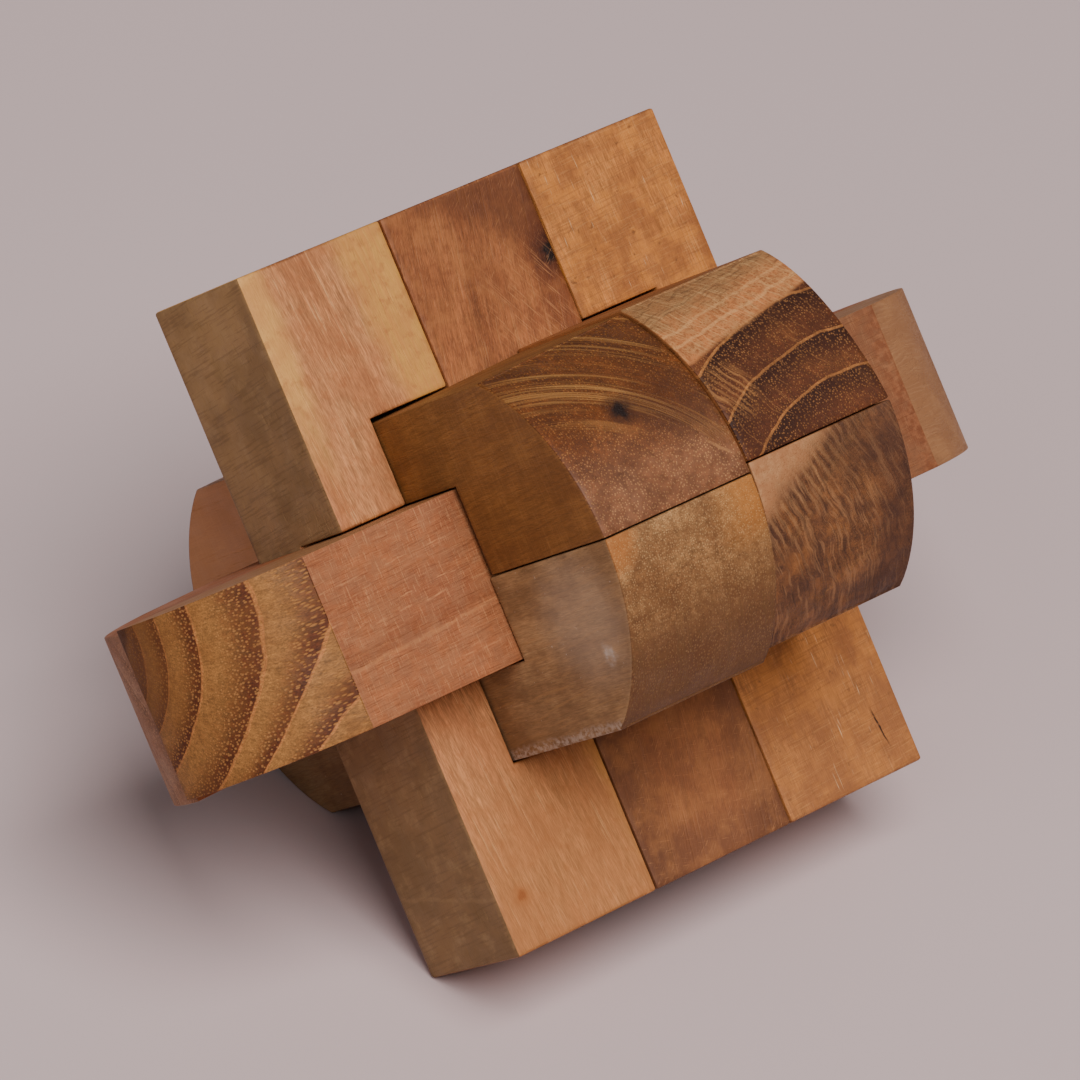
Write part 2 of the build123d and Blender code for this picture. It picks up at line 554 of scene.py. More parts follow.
    def scratches(self, direction, colour, spacing, length, amount, mask=1.0, coverage=0.5):
        """Straight saw or sanding lines along a direction."""
        g = self.g
        unit = Vector(direction).normalized()
        side = unit.orthogonal().normalized()
        steps = [(unit, length), (side, spacing), (unit.cross(side), spacing)]
        field = g.combine(*[g.times(g.vector("DOT_PRODUCT", self.at, tuple(way)), 1 / size)
                            for way, size in steps])
        self.score(self.marks(field, coverage, amount, mask), colour)

    def strokes(self, direction, colour, spacing, length, amount, mask=1.0, coverage=0.5):
        """Straight marks on end grain, even over its rounding. direction is across the grain."""
        g = self.g
        run, rise = Vector(direction).normalized()
        down = g.add(g.times(self.a, run), g.times(self.b, rise))
        over = g.math("SUBTRACT", g.times(self.b, run), g.times(self.a, rise))
        over = g.add(over, self.around_zero(g.noise(self.at, scale=0.3, detail=2), 1.5))
        field = g.combine(g.times(down, 1 / length), g.times(over, 1 / spacing), 0.0)
        self.score(self.marks(field, coverage, amount, mask), colour)

    def swept(self, centre, spacing, length, amount, mask, coverage):
        """Marks along the sweep of a round blade, about a centre in the plane across the grain."""
        g = self.g
        off_a = g.math("SUBTRACT", self.a, centre[0])
        off_b = g.math("SUBTRACT", self.b, centre[1])
        radius = g.vector("LENGTH", g.combine(off_a, off_b, 0.0), (0, 0, 0))
        angle = g.times(g.math("ARCTAN2", off_b, off_a), 28.0 / length)
        return self.marks(g.combine(g.times(radius, 1 / spacing), angle, 0.0), coverage, amount, mask)

    def arcs(self, centre, colour, spacing, length, amount, mask=1.0, coverage=0.5):
        """Saw lines left by a round blade."""
        self.score(self.swept(centre, spacing, length, amount, mask, coverage), colour)

    def comb(self, across, pitch, amount, light, dark, mask):
        """Even short dashes side by side, as a saw's teeth leave them."""
        g = self.g
        reach = g.vector("DOT_PRODUCT", self.at, tuple(Vector(across).normalized()))
        waver = self.around_zero(g.noise(self.at, scale=0.6, detail=2), 4.0)
        wave = g.math("SINE", g.add(g.times(reach, 2 * math.pi / pitch), waver))
        self.tint(g.times(g.span(wave, 0.1, 0.9), amount, mask), light)
        self.tint(g.times(g.span(wave, -0.2, -0.9), amount, mask), dark)

    def cloud(self, colour, size, amount, mask=1.0, coverage=0.5, softness=0.12):
        """Soft patches of another colour, about a size across."""
        g = self.g
        field = g.vector("ADD", self.at, (self.seed * 7, size * 13, self.seed * 3))
        patches = g.span(g.noise(field, scale=1 / size, detail=4, roughness=0.6),
                         coverage - softness, coverage + softness)
        self.tint(g.times(patches, amount, mask), colour)

    def line(self, normal, colour, offset, width, amount, mask=1.0):
        """One thin wavering line where a plane cuts the surface."""
        g = self.g
        reach = g.vector("DOT_PRODUCT", self.at, tuple(Vector(normal).normalized()))
        waver = self.around_zero(g.noise(self.at, scale=0.35, detail=3), 1.1)
        gap = g.math("ABSOLUTE", g.math("SUBTRACT", g.add(reach, waver), offset))
        broken = g.span(g.noise(self.at, scale=1.1, detail=2), 0.3, 0.5, 0.3, 1.0)
        share = g.times(g.span(gap, width, width * 0.3), broken, amount)
        self.tint(g.times(share, mask), colour)

    def knot(self, centre, size, heart, rim):
        """A small round knot with a dark heart, as a ball that shows where a face cuts it."""
        g = self.g
        distance = g.vector("DISTANCE", self.at, centre)
        spread = g.add(distance, self.around_zero(g.noise(self.at, scale=1.1, detail=3), size * 1.5))
        self.tint(g.span(spread, size * 2.4, size * 0.7, 0.0, 0.7), rim)
        self.tint(g.span(spread, size * 1.1, size * 0.4, 0.0, 0.95), heart)

    def past(self, normal, offset, softness, wobble=1.5):
        """1 on the far side of a plane with a wavering edge, 0 on the near side."""
        g = self.g
        reach = g.vector("DOT_PRODUCT", self.at, tuple(Vector(normal).normalized()))
        waver = self.around_zero(g.noise(self.at, scale=0.25, detail=3), wobble * 2)
        return g.span(g.add(reach, waver), offset - softness, offset + softness)

    def near(self, centre, size, wobble=1.5):
        """1 near a point, falling to 0 at a distance."""
        g = self.g
        distance = g.vector("DISTANCE", self.at, centre)
        waver = self.around_zero(g.noise(self.at, scale=0.4, detail=3), wobble * 2)
        return g.span(g.add(distance, waver), size, size * 0.3)

    def finish(self, roughness=0.6, gloss=0.25, rubbed=tone(206, 150, 100)):
        """Edge wear, roughness and bump, and the surface shader."""
        g = self.g
        worn = g.node("ShaderNodeAttribute", attribute_name="edge_wear").outputs["Fac"]
        scuff = g.noise(self.at, scale=1.4, detail=3, roughness=0.65)
        self.tint(g.times(g.span(worn, 0.4, 1.0), g.span(scuff, 0.42, 0.62), 0.55), rubbed)
        self.tint(g.times(g.span(worn, 0.3, 1.0), g.span(scuff, 0.52, 0.36), 0.5),
                  tone(58, 30, 14))
        surface = g.node("ShaderNodeBsdfPrincipled")
        g.feed(surface.inputs["Base Color"], self.colour)
        surface.inputs["Specular IOR Level"].default_value = gloss
        patchy = g.noise(self.at, scale=0.3, detail=2)
        rough = g.add(g.span(patchy, 0.3, 0.7, roughness - 0.08, roughness + 0.08),
                      g.times(self.pores, 0.15))
        g.feed(surface.inputs["Roughness"], rough)
        relief = g.add(self.height, g.times(self.fine, -0.6))
        relief = g.add(relief, g.times(self.streaks, -0.4))
        bump = g.node("ShaderNodeBump")
        bump.inputs["Strength"].default_value = 0.7
        bump.inputs["Distance"].default_value = 0.1 * MM
        g.feed(bump.inputs["Height"], relief)
        g.feed(surface.inputs["Normal"], bump.outputs["Normal"])
        output = g.node("ShaderNodeOutputMaterial")
        g.tree.links.new(surface.outputs[0], output.inputs["Surface"])
        return g.material


def even_rings(start, stop, width, seed):
    """Radii of growth lines about width apart, no two gaps the same."""
    draw = random.Random(seed)
    found = [start]
    while found[-1] < stop and len(found) < 15:
        found.append(found[-1] + width * draw.uniform(0.65, 1.35))
    return found


def key_wood():
    wood = Wood(
        "key_wood", X, pith=(8.6, -6.6), seed=1.3, wobble=0.25, pore_gap=0.38, mottle=0.2,
        rings=(0.5, 5.0, 9.9, 12.9, 16.8, 22.1, 25.3, 28.4, 33.0), show=(0.12, 1.0),
        pores=(0.15, 0.6), crowd=(0.1, 1.0), fibre=(0.16, 0.34), rays=0.2,
        side=(tone(178, 115, 73), tone(162, 98, 60), tone(135, 74, 42), tone(181, 120, 77)),
        end=(tone(178, 114, 62), tone(148, 100, 52), tone(84, 40, 17), tone(180, 124, 70)),
    )
    g = wood.g
    right_end = g.times(wood.past((1, 0, 0), 30, 1), wood.on_end)
    left_end = g.math("SUBTRACT", wood.on_end, right_end)
    heart = g.span(wood.radius, 16.0, 9.0)
    wood.tint(g.times(heart, left_end, 0.65), tone(98, 58, 27))
    corner = g.times(wood.past((0, 1, -2.2), 2.2, 0.5, wobble=1.0), wood.past((0, 1, 0), 5.6, 0.8))
    wood.tint(g.times(corner, left_end, 0.75), tone(58, 26, 16))
    wood.cloud(tone(120, 72, 32), size=3.5, amount=0.35, mask=left_end, coverage=0.55)
    wood.tint(g.times(right_end, 0.9), tone(154, 108, 73))
    wood.cloud(tone(130, 86, 58), size=4.0, amount=0.45, mask=right_end)
    wood.strokes((0.1, 1), tone(188, 142, 104), spacing=0.2, length=2.0, amount=0.16, mask=right_end)
    wood.strokes((-0.1, 1), tone(112, 72, 46), spacing=0.22, length=2.0, amount=0.16, mask=right_end,
                 coverage=0.52)
    wood.cloud(tone(134, 76, 48), size=6.0, amount=0.6, mask=wood.on_side)
    pale, dark = tone(192, 130, 86), tone(112, 60, 34)
    wood.scratches((0, 1, 0.02), pale, spacing=0.15, length=1.8, amount=0.62, mask=wood.on_side,
                   coverage=0.54)
    wood.scratches((1, 0.03, 0), pale, spacing=0.15, length=1.8, amount=0.36, mask=wood.on_side,
                   coverage=0.55)
    wood.scratches((1, 0.03, 0), dark, spacing=0.14, length=2.6, amount=0.6, mask=wood.on_side,
                   coverage=0.53)
    wood.scratches((0, 1, 0), dark, spacing=0.14, length=1.5, amount=0.4, mask=wood.on_side, coverage=0.56)
    left_top = g.times(wood.past((-1, 0, 0), 15, 8), wood.on_side)
    wood.line((-0.048, 1, 0), dark, offset=-0.6, width=1.3, amount=0.4, mask=left_top)
    wood.line((-0.048, 1, 0), tone(206, 138, 86), offset=-1.66, width=0.3, amount=0.32, mask=left_top)
    patchy = g.times(left_top, g.span(g.noise(wood.at, scale=0.3, detail=1), 0.46, 0.54))
    for place, width in ((0.9, 0.16), (2.4, 0.12), (6.0, 0.12), (-6.2, 0.12)):
        wood.line((-0.02, 1, 0), tone(206, 140, 92), offset=place, width=width, amount=0.4, mask=patchy)
    wood.cloud(tone(146, 100, 70), size=2.0, amount=0.35, mask=wood.on_side)
    right_top = g.times(wood.past((1, 0, 0), 12, 14), wood.on_side)
    wood.tint(g.times(right_top, 0.5), tone(98, 68, 46))
    torn = g.times(wood.past((1, 0, 0), 37.6, 1.2), right_top)
    wood.cloud(tone(112, 54, 28), size=1.6, amount=0.5, mask=torn, coverage=0.46)
    wood.cloud(tone(190, 126, 84), size=0.8, amount=0.25, mask=torn, coverage=0.56)
    # Painted light: faces turned towards +Y are tinted paler, standing in for the light they catch.
    lit_back_face = g.times(g.span(wood.facing[Y], 0.5, 0.9), wood.on_side)
    wood.tint(g.times(lit_back_face, 0.7), tone(170, 122, 80))
    return wood.finish(rubbed=tone(206, 176, 160))


def lower_arm_wood():
    wood = Wood(
        "lower_arm_wood", X, pith=(-14.0, -30.0), seed=4.1, show=(0.3, 0.6),
        rings=even_rings(6, 52, 3.6, 8), crowd=(0.2, 0.9), fibre=(0.2, 0.3),
        side=(tone(186, 118, 74), tone(168, 100, 60), tone(136, 74, 42), tone(184, 122, 80)),
        end=(tone(178, 136, 108), tone(156, 114, 86), tone(112, 74, 50), tone(186, 140, 108)),
    )
    wood.cloud(tone(130, 78, 48), size=6.0, amount=0.4)
    wood.scratches((0, 1, 0.02), tone(200, 136, 92), spacing=0.18, length=3.0, amount=0.3,
                   mask=wood.on_side, coverage=0.55)
    return wood.finish()


def plate_left_wood():
    wood = Wood(
        "plate_left_wood", Y, pith=(-60.0, -40.0), slope=(0.1, 0.02), seed=2.2, pores=(0.6, 0.7),
        rings=even_rings(32, 96, 4.6, 3), show=(0.25, 0.9), mottle=0.35, fibre=(0.36, 0.3),
        crowd=(0.4, 0.8), pore_gap=0.36,
        side=(tone(201, 142, 92), tone(180, 121, 77), tone(152, 90, 52), tone(212, 156, 106)),
        end=(tone(176, 118, 68), tone(152, 96, 50), tone(104, 60, 30), tone(186, 130, 80)),
    )
    g = wood.g
    sapwood = wood.past((1, 0.1, 0), -12.6, 1.6, wobble=1.0)
    wood.tint(g.times(sapwood, 0.7), tone(208, 152, 70))
    edge = g.times(wood.past((-1, 0.02, 0), 26.6, 1.2, wobble=0.8), wood.past((0, 1, 0), 20, 10))
    wood.tint(g.times(edge, 0.75), tone(220, 164, 86))
    wood.scratches((0, 1, 0), tone(196, 126, 66), spacing=0.5, length=9.0, amount=0.4, mask=sapwood)
    wood.cloud(tone(168, 101, 62), size=5.0, amount=0.35)
    wood.cloud(tone(156, 92, 52), size=1.4, amount=0.4, coverage=0.6, softness=0.08)
    wood.scratches((0.1, 1, 0), tone(138, 80, 46), spacing=0.16, length=1.6, amount=0.35,
                   mask=wood.on_side, coverage=0.58)
    # Painted shade: the lower end of the bar is tinted darker and yellower, for the shade the block casts
    # there.
    low = wood.past((0, -1, 0), 20, 12)
    wood.tint(g.times(low, 0.4), tone(166, 108, 56))
    outer_side = g.span(wood.facing[X], -0.5, -0.9)
    # Painted shade: the outer (-X) face is tinted darker and more olive than the top, standing in for the
    # shade on that face.
    wood.tint(g.times(outer_side, 0.8), tone(150, 118, 80))
    # Painted shadow: the lower part of the outer face is darkened further, where the key shades it.
    wood.tint(g.times(outer_side, wood.past((0, -1, 0), 10, 4), 0.45), tone(112, 84, 54))
    wood.cloud(tone(112, 84, 54), size=9.0, amount=0.5, mask=outer_side)
    wood.cloud(tone(180, 144, 100), size=2.0, amount=0.3, mask=outer_side, coverage=0.6)
    wood.scratches((0, 0.1, 1), tone(104, 74, 46), spacing=0.3, length=5.0, amount=0.35, mask=outer_side)
    wood.line((1, 4, 0.6), tone(190, 150, 106), offset=-36.4, width=0.35, amount=0.14, mask=outer_side)
    wood.knot((-25.6, -32.8, 9.1), size=0.7, heart=tone(142, 80, 38), rim=tone(160, 98, 52))
    return wood.finish(rubbed=tone(216, 164, 116))


def plate_middle_wood():
    wood = Wood(
        "plate_middle_wood", Y, pith=(22.0, -12.0), slope=(-0.2, 0.03), seed=6.6, pores=(0.3, 0.7),
        rings=even_rings(8, 66, 6.4, 5), wobble=1.0, show=(0.3, 0.9), mottle=0.4,
        fibre=(0.34, 0.3),
        side=(tone(166, 106, 62), tone(148, 88, 50), tone(98, 50, 26), tone(176, 122, 80)),
        end=(tone(154, 94, 54), tone(130, 74, 40), tone(82, 42, 22), tone(168, 108, 66)),
    )
    g = wood.g
    wood.cloud(tone(112, 60, 34), size=8.0, amount=0.6)
    wood.cloud(tone(172, 108, 60), size=3.0, amount=0.35, coverage=0.54)
    wood.cloud(tone(100, 52, 28), size=1.2, amount=0.35, coverage=0.58, softness=0.1)
    corner = g.times(wood.past((0.62, 0.78, 0), 27.6, 2.6), wood.past((0, 1, 0), 25, 3),
                     wood.on_side)
    wood.tint(g.times(corner, 0.65), tone(80, 42, 24))
    foot = wood.past((0, -1, 0), 34.2, 2.6)
    wood.tint(g.times(foot, 0.75), tone(84, 46, 32))
    # Painted shade: the lower end of the bar is tinted darker, for the shade the block casts there; the
    # pale blotches and scratches masked by it below are the wood's own.
    lower = wood.past((0, -1, 0), 8, 3)
    wood.tint(g.times(lower, 0.4), tone(134, 86, 54))
    flank = g.times(wood.past((0, -1, 0), 20, 2), wood.past((-1, 0, 0), 5.5, 2.5))
    wood.tint(g.times(flank, 0.6), tone(84, 50, 32))
    right_flank = g.times(wood.past((0, -1, 0), 16, 4), wood.past((1, -0.1, 0), 8.6, 1.6))
    wood.tint(g.times(right_flank, 0.45), tone(84, 50, 32))
    wood.cloud(tone(180, 118, 68), size=3.5, amount=0.28, mask=lower, coverage=0.56)
    halo = g.times(wood.near((9.6, 28.6, 9.1), 5.5, wobble=1.5), 0.6)
    wood.tint(halo, tone(92, 44, 22))
    wood.knot((9.4, 28.6, 9.1), size=1.6, heart=tone(22, 12, 10), rim=tone(60, 26, 14))
    pale = tone(196, 134, 86)
    around_knot = wood.near((5.0, 24.0, 9.1), 9.0)
    wood.scratches((0.75, 0.65, 0), pale, spacing=0.13, length=1.4, amount=0.3, coverage=0.6)
    wood.scratches((0.5, -0.86, 0), pale, spacing=0.18, length=4.0, amount=0.4, mask=around_knot,
                   coverage=0.54)
    wood.scratches((1, -0.25, 0), pale, spacing=0.13, length=1.6, amount=0.25, mask=lower, coverage=0.6)
    return wood.finish(rubbed=tone(170, 100, 60))


def plate_right_wood():
    wood = Wood(
        "plate_right_wood", Y, pith=(70.0, -34.0), slope=(0.03, 0.02), seed=9.4, pores=(0.3, 0.7),
        rings=even_rings(40, 100, 7.0, 11), show=(0.15, 0.9), mottle=0.4, fibre=(0.34, 0.3),
        side=(tone(204, 138, 76), tone(182, 115, 58), tone(146, 84, 40), tone(206, 150, 94)),
        end=(tone(178, 114, 66), tone(152, 94, 50), tone(100, 54, 26), tone(188, 128, 80)),
    )
    g = wood.g
    wood.cloud(tone(142, 84, 44), size=6.0, amount=0.75)
    wood.cloud(tone(210, 132, 56), size=2.6, amount=0.5, coverage=0.54)
    wood.cloud(tone(98, 60, 34), size=1.2, amount=0.7, coverage=0.66, softness=0.05)
    # Painted shade: the lower end of the bar is tinted darker, for the shade the block casts there.
    wood.tint(g.times(wood.past((0, -1, 0), 22, 10), 0.45), tone(146, 96, 62))
    wood.scratches((1, 0.05, 0), tone(136, 84, 46), spacing=0.22, length=4.5, amount=0.45, coverage=0.52)
    wood.scratches((1, 0.05, 0), tone(208, 146, 86), spacing=0.16, length=2.6, amount=0.24, coverage=0.55)
    wood.scratches((0, 1, 0), tone(226, 186, 144), spacing=0.3, length=4.0, amount=0.8, coverage=0.67)
    crack = g.times(wood.near((25.3, -33.4, 9.1), 3.0, wobble=0.3), wood.on_side)
    wood.line((1, 0.12, 0), tone(30, 16, 12), offset=21.15, width=0.16, amount=0.95, mask=crack)
    return wood.finish(rubbed=tone(206, 140, 84))


def back_left_wood():
    wood = Wood(
        "back_left_wood", Z, pith=(-38.0, -16.0), seed=3.3, pore_gap=0.34, pores=(0.1, 0.6),
        rings=even_rings(14, 64, 4.6, 21), show=(0.15, 0.3), crowd=(0.6, 0.8), mottle=0.5,
        fibre=(0.2, 0.4),
        side=(tone(157, 108, 60), tone(143, 94, 48), tone(116, 70, 36), tone(158, 115, 70)),
        end=(tone(136, 74, 29), tone(112, 59, 23), tone(64, 28, 9), tone(170, 108, 52)),
    )
    g = wood.g
    wood.scratches((0, 1, 0), tone(166, 116, 68), spacing=0.22, length=5.0, amount=0.3, mask=wood.on_side)
    wood.scratches((0, 0.1, 1), tone(98, 60, 30), spacing=0.3, length=6.0, amount=0.3, mask=wood.on_side,
                   coverage=0.52)
    wood.cloud(tone(104, 64, 34), size=4.0, amount=0.35, mask=wood.on_side)
    wood.cloud(tone(186, 140, 100), size=0.5, amount=0.5, mask=wood.on_side, coverage=0.74, softness=0.05)
    # Painted light: the side faces of the lower end are tinted paler, standing in for light that reaches
    # them there.
    under = g.times(wood.past((0, 0, -1), 20, 2), wood.on_side)
    wood.tint(g.times(under, 0.6), tone(196, 134, 90))
    # Painted sheen: the front part of the dome's end grain, with its pores, is tinted paler and pinker,
    # standing in for a soft sheen.
    low = g.times(wood.past((0, -1, 0), -7.0, 5.0), wood.on_end)
    wood.tint(g.times(low, 0.42), tone(160, 112, 82))
    wood.tint(g.times(wood.pores, low, 0.45), tone(196, 146, 100))
    wood.cloud(tone(70, 34, 14), size=3.0, amount=0.4, mask=wood.on_end)
    wood.cloud(tone(66, 32, 14), size=1.0, amount=0.35, mask=wood.on_end, coverage=0.56)
    upper = g.times(wood.past((0.45, 0.9, 0), 4.0, 3.0), wood.on_end)
    wood.tint(g.times(upper, 0.2), tone(84, 54, 26))
    blade = (-23.1, -7.6)
    bundles = wood.swept(blade, 1.6, 40.0, 1.0, upper, coverage=0.45)
    wood.arcs(blade, tone(172, 122, 66), spacing=0.17, length=18.0, amount=0.6, mask=bundles,
              coverage=0.45)
    wood.arcs(blade, tone(166, 112, 56), spacing=0.4, length=30.0, amount=0.4, mask=bundles, coverage=0.52)
    wood.arcs(blade, tone(60, 30, 13), spacing=0.3, length=24.0, amount=0.4, mask=upper, coverage=0.54)
    tail = g.times(wood.near((-5.4, 8.9, 39.5), 7.5), wood.past((0.45, 0.9, 0), 3.6, 1.2))
    wood.tint(g.times(tail, 0.5), tone(62, 30, 14))
    wood.knot((-10.2, 11.1, 38.2), size=1.15, heart=tone(24, 11, 9), rim=tone(48, 23, 12))
    wood.line((1, 0.9, 0), tone(176, 124, 78), offset=0.6, width=0.22, amount=0.55,
              mask=g.times(wood.near((-2.9, 2.6, 40.5), 2.8, wobble=0.5), wood.on_end))
    return wood.finish(roughness=0.52, rubbed=tone(176, 120, 76))


def back_right_wood():
    wood = Wood(
        "back_right_wood", Z, pith=(16.8, -20.2), seed=5.7, wobble=0.3, pore_gap=0.34,
        rings=(10.0, 15.5, 21.0, 25.9, 30.4, 35.1, 38.7, 42.0), pores=(0.2, 0.62), crowd=(0.6, 0.9),
        fibre=(0.2, 0.34), rays=0.16,
        side=(tone(176, 116, 70), tone(156, 96, 54), tone(120, 68, 36), tone(180, 124, 78)),
        end=(tone(168, 107, 56), tone(93, 49, 25), tone(48, 21, 10), tone(158, 106, 60)),
    )
    g = wood.g
    wood.cloud(tone(60, 28, 14), size=3.0, amount=0.4, mask=wood.on_end)
    pale_side = g.times(wood.past((-0.16, 0.99, 0), 12.2, 0.35, wobble=0.5), wood.on_end)
    wood.tint(g.times(pale_side, 0.8), tone(190, 130, 80))
    wood.tint(g.times(wood.pores, pale_side, 0.75), tone(140, 80, 42))
    wood.cloud(tone(186, 108, 58), size=2.2, amount=0.6, mask=pale_side)
    wood.cloud(tone(140, 82, 46), size=0.6, amount=0.6, mask=pale_side, coverage=0.54, softness=0.06)
    for place in (14.2, 15.6, 17.4):
        wood.line((-0.12, 0.99, 0), tone(216, 160, 104), offset=place, width=0.24, amount=0.42,
                  mask=pale_side)
    grey = g.times(wood.past((-0.1, 0.99, 0), 16.6, 1.2), wood.on_end)
    wood.tint(g.times(grey, 0.55), tone(116, 90, 58))
    wood.strokes((0.5, -0.86), tone(218, 166, 110), spacing=0.26, length=3.5, amount=0.3, mask=pale_side)
    wood.strokes((0.97, 0.12), tone(104, 66, 40), spacing=0.2, length=4.0, amount=0.45, mask=pale_side,
                 coverage=0.58)
    wood.strokes((0.97, 0.12), tone(92, 64, 42), spacing=0.2, length=3.0, amount=0.5, mask=grey)
    dashes = g.times(wood.near((2.6, 8.0, 39.0), 4.2, wobble=1.2), wood.on_end)
    wood.comb((0.86, 0.5, 0), pitch=0.75, amount=0.25, light=tone(184, 130, 76), dark=tone(70, 36, 20),
              mask=dashes)
    wood.strokes((0.5, -0.86), tone(170, 116, 66), spacing=0.3, length=6.0, amount=0.45, mask=dashes)
    wood.strokes((0.5, -0.86), tone(160, 108, 62), spacing=0.22, length=6.0, amount=0.3, mask=wood.on_end,
                 coverage=0.58)
    return wood.finish(rubbed=tone(190, 132, 84))


def front_left_wood():
    wood = Wood(
        "front_left_wood", Z, pith=(-8.0, 46.0), seed=7.9, pore_gap=0.32, pores=(0.12, 0.5),
        rings=even_rings(24, 70, 8.0, 31), wobble=1.0, show=(0.1, 0.15), crowd=(0.6, 0.8),
        mottle=0.5, fibre=(0.22, 0.42),
        side=(tone(185, 151, 109), tone(168, 129, 89), tone(135, 95, 60), tone(188, 158, 119)),
        end=(tone(184, 138, 92), tone(153, 110, 68), tone(98, 60, 34), tone(196, 152, 102)),
    )
    g = wood.g
    low = g.times(wood.past((0, -1, 0), 9.5, 5.0), wood.on_end)
    wood.tint(g.times(low, 0.72), tone(80, 45, 24))
    wood.cloud(tone(104, 64, 34), size=2.5, amount=0.4, mask=wood.on_end)
    wood.cloud(tone(92, 56, 30), size=0.8, amount=0.35, mask=wood.on_end, coverage=0.56)
    rise = g.times(wood.past((0, 1, 0), -5.5, 3.0), wood.past((1, 0, 0), -4.5, 3.0))
    wood.tint(g.times(rise, wood.on_end, 0.5), tone(192, 118, 46))
    corner = g.times(wood.near((-19.6, -1.4, 41.0), 4.0), wood.on_end)
    wood.tint(g.times(corner, 0.5), tone(184, 108, 44))
    wood.tint(g.times(wood.pores, wood.on_end, 0.14), tone(206, 160, 108))
    wood.strokes((0.2, -0.98), tone(156, 108, 62), spacing=0.34, length=4.0, amount=0.42, mask=low)
    wood.strokes((0.2, -0.98), tone(58, 34, 19), spacing=0.34, length=4.0, amount=0.5, mask=low)
    wood.cloud(tone(106, 74, 48), size=5.0, amount=0.5, mask=wood.on_side)
    wood.scratches((0, 0.1, 1), tone(176, 128, 80), spacing=0.4, length=6.0, amount=0.35,
                   mask=wood.on_side, coverage=0.54)
    shadow = g.times(wood.past((0, -1, -0.4), 8.0, 3.0), wood.on_side)
    wood.tint(g.times(shadow, 0.4), tone(96, 62, 38))
    # Painted sheen: a whitish haze over the side face near its top, standing in for a soft sheen of light.
    sheen_haze = g.times(wood.near((-20.0, -7.5, 31.5), 10.0), wood.on_side, 0.25)
    wood.tint(sheen_haze, tone(190, 172, 154))
    spot = g.times(wood.near((-20.0, -11.8, 33.6), 1.6, wobble=1.4), wood.on_side)
    wood.cloud(tone(210, 196, 186), size=0.8, amount=0.6, mask=spot, coverage=0.48, softness=0.2)
    wood.cloud(tone(216, 196, 182), size=0.45, amount=0.6, mask=wood.on_side, coverage=0.72, softness=0.05)
    foot = g.times(wood.past((0, -1, 0), 18.7, 0.5, wobble=0.5), wood.past((0, 0, 1), 0, 1))
    wood.cloud(tone(200, 180, 164), size=0.6, amount=0.5, mask=g.times(foot, wood.on_side), coverage=0.5)
    return wood.finish(rubbed=tone(206, 184, 168))


def front_right_wood():
    wood = Wood(
        "front_right_wood", Z, pith=(-20.0, 40.0), seed=8.8, pore_gap=0.36, pores=(0.12, 0.15),
        rings=even_rings(20, 76, 9.0, 41), wobble=1.2, show=(0.15, 0.3), mottle=0.5,
        fibre=(0.2, 0.4),
        side=(tone(150, 100, 64), tone(130, 82, 48), tone(96, 56, 32), tone(150, 104, 68)),
        end=(tone(149, 103, 59), tone(119, 75, 43), tone(69, 40, 26), tone(159, 117, 78)),
    )
    g = wood.g
    pale_corner = g.times(wood.past((-0.51, 0.86, 0), -4.4, 1.6, wobble=1.2), wood.on_end)
    brown = g.math("SUBTRACT", wood.on_end, pale_corner)
    wood.cloud(tone(68, 42, 33), size=5.0, amount=0.6, mask=brown)
    wood.cloud(tone(150, 94, 50), size=2.5, amount=0.4, mask=brown, coverage=0.56)
    below = wood.past((0.51, -0.86, 0), 4.8, 0.8, wobble=0.6)
    above = wood.past((-0.51, 0.86, 0), -8.6, 1.4, wobble=1.2)
    band = g.times(below, above, brown, wood.past((-1, 0, 0), -12.5, 1.5))
    wood.comb((0.9, 0.42, 0), pitch=1.1, amount=0.4, light=tone(160, 116, 76), dark=tone(60, 36, 25),
              mask=band)
    wood.strokes((0.34, -0.94), tone(160, 114, 76), spacing=0.4, length=3.6, amount=0.42, mask=brown)
    wood.strokes((0.34, -0.94), tone(54, 33, 25), spacing=0.42, length=4.2, amount=0.42, mask=brown)
    dim = g.times(wood.near((13.0, -2.0, 40.5), 6.0, wobble=2.0), brown)
    wood.tint(g.times(dim, 0.5), tone(66, 40, 28))
    right = g.times(wood.past((1, -0.2, 0), 16.5, 2.0), brown)
    wood.tint(g.times(right, 0.5), tone(66, 40, 32))
    wood.tint(g.times(pale_corner, 0.8), tone(188, 136, 92))
    wood.cloud(tone(150, 92, 56), size=1.8, amount=0.5, mask=pale_corner)
    wood.cloud(tone(140, 84, 50), size=0.7, amount=0.3, mask=pale_corner)
    return wood.finish(rubbed=tone(150, 104, 74))


WOODS = {
    "key_bar": key_wood,
    "lower_arm_bar": lower_arm_wood,
    "plate_bar_left": plate_left_wood,
    "plate_bar_middle": plate_middle_wood,
    "plate_bar_right": plate_right_wood,
    "block_bar_back_left": back_left_wood,
    "block_bar_back_right": back_right_wood,
    "block_bar_front_left": front_left_wood,
    "block_bar_front_right": front_right_wood,
}


# ---------------------------------------------------------------- the object


def build_puzzle():
    bodies = frame["record"]["behaviour"]["bodies"]
    body_of = {node: body for body, nodes in bodies.items() for node in nodes}
    for seed, (node, mesh) in enumerate(bar_meshes().items(), 1):
        piece = make_piece(node, mesh, seed)
        piece.data.materials.append(WOODS[node]())
        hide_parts(node)
        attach(piece, body_of[node])


# ---------------------------------------------------------------- the studio

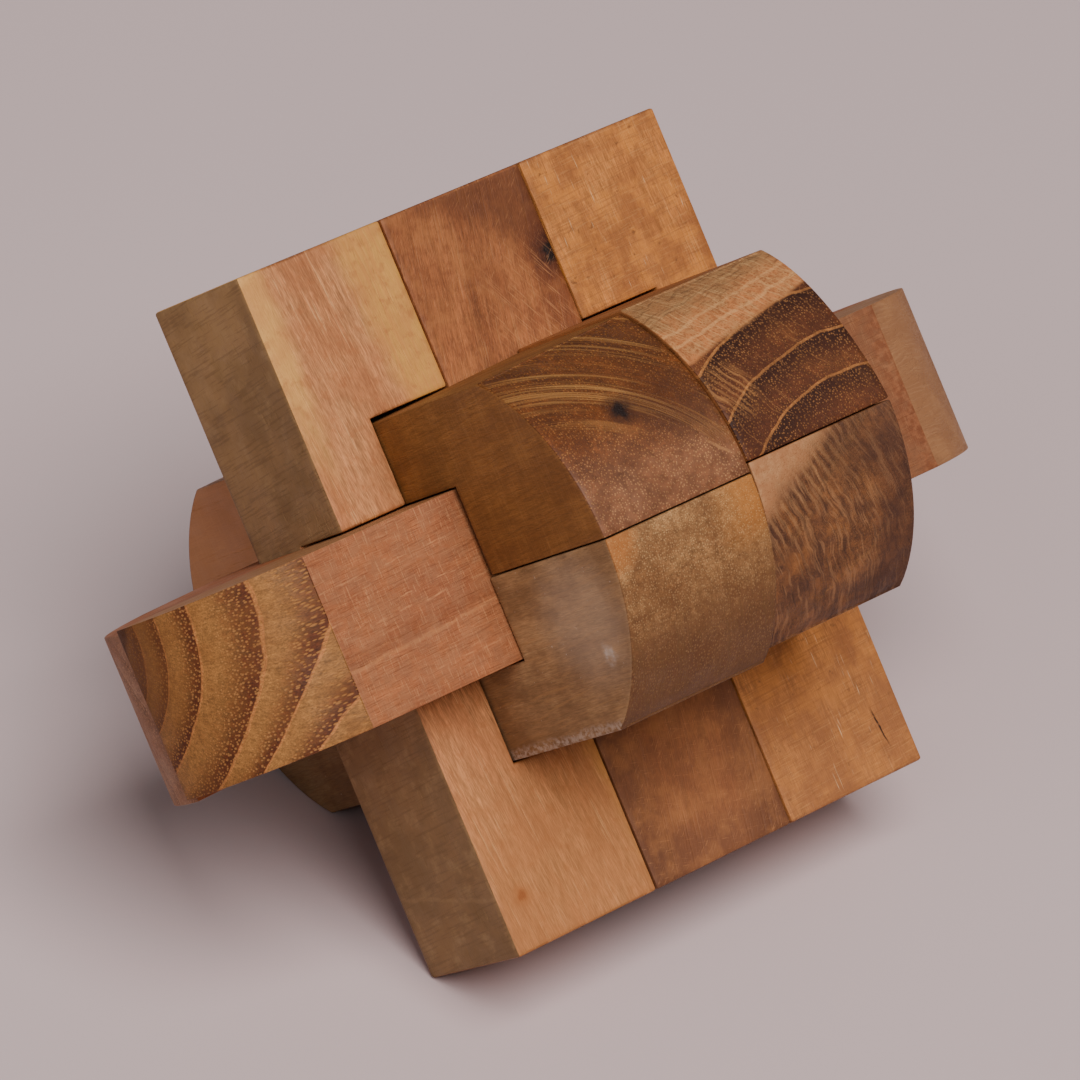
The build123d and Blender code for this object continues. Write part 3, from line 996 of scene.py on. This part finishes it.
CAMERA_AZIMUTH = 42.61          # degrees, from +Y towards +X, the way the camera looks
CAMERA_ELEVATION = 35.91
CAMERA_ROLL = 4.01
CAMERA_DISTANCE = 0.7485
CAMERA_AIM = (-0.0001, 0.0, 0.0349)
CAMERA_LENS = 230.8
LIGHT_AIM = Vector((0, 0, 0.03))
FLOOR_HALF = 1.5
FLOOR_COLOUR = tone(202, 180, 180)
FLOOR_ROUGHNESS = 0.75
SKY_COLOUR = (1.0, 0.98, 0.96, 1)
SKY_STRENGTH = 0.04


def look_from(azimuth, elevation, roll):
    """The turn of a camera that looks down at elevation towards azimuth."""
    turn = Matrix.Rotation(-math.radians(azimuth), 4, "Z")
    turn @= Matrix.Rotation(math.radians(90 - elevation), 4, "X")
    return turn @ Matrix.Rotation(math.radians(roll), 4, "Z")


def make_camera():
    data = bpy.data.cameras.new("camera")
    data.lens = CAMERA_LENS
    data.sensor_width = 36.0
    data.clip_end = 20.0
    camera = bpy.data.objects.new("camera", data)
    bpy.context.scene.collection.objects.link(camera)
    turn = look_from(CAMERA_AZIMUTH, CAMERA_ELEVATION, CAMERA_ROLL)
    back = Matrix.Translation((0, 0, CAMERA_DISTANCE))
    camera.matrix_world = Matrix.Translation(CAMERA_AIM) @ turn @ back
    bpy.context.scene.camera = camera


def make_floor():
    mesh = bmesh.new()
    bmesh.ops.create_grid(mesh, x_segments=1, y_segments=1, size=FLOOR_HALF)
    data = bpy.data.meshes.new("floor")
    mesh.to_mesh(data)
    mesh.free()
    floor = bpy.data.objects.new("floor", data)
    bpy.context.scene.collection.objects.link(floor)
    g = Graph("floor_paint")
    surface = g.node("ShaderNodeBsdfPrincipled")
    surface.inputs["Base Color"].default_value = FLOOR_COLOUR
    surface.inputs["Roughness"].default_value = FLOOR_ROUGHNESS
    output = g.node("ShaderNodeOutputMaterial")
    g.tree.links.new(surface.outputs[0], output.inputs["Surface"])
    data.materials.append(g.material)


def area_light(name, place, size, power, colour):
    data = bpy.data.lights.new(name, "AREA")
    data.size = size
    data.energy = power
    data.color = colour
    light = bpy.data.objects.new(name, data)
    bpy.context.scene.collection.objects.link(light)
    aim = LIGHT_AIM - Vector(place)
    light.matrix_world = Matrix.Translation(place) @ aim.to_track_quat("-Z", "Y").to_matrix().to_4x4()


def make_lights():
    area_light("window", place=(-0.25, -1.00, 1.80), size=1.4, power=58.5, colour=(1.0, 0.97, 0.95))
    area_light("side", place=(-1.5, -0.3, 1.1), size=1.2, power=6.0, colour=(0.88, 0.95, 1.0))
    area_light("fill", place=(1.5, 1.3, 1.2), size=1.6, power=4.0, colour=(0.96, 0.98, 1.0))
    world = bpy.data.worlds.new("studio")
    bpy.context.scene.world = world
    world.use_nodes = True
    background = world.node_tree.nodes["Background"]
    background.inputs["Color"].default_value = SKY_COLOUR
    background.inputs["Strength"].default_value = SKY_STRENGTH


make_camera()
build_puzzle()
make_floor()
make_lights()
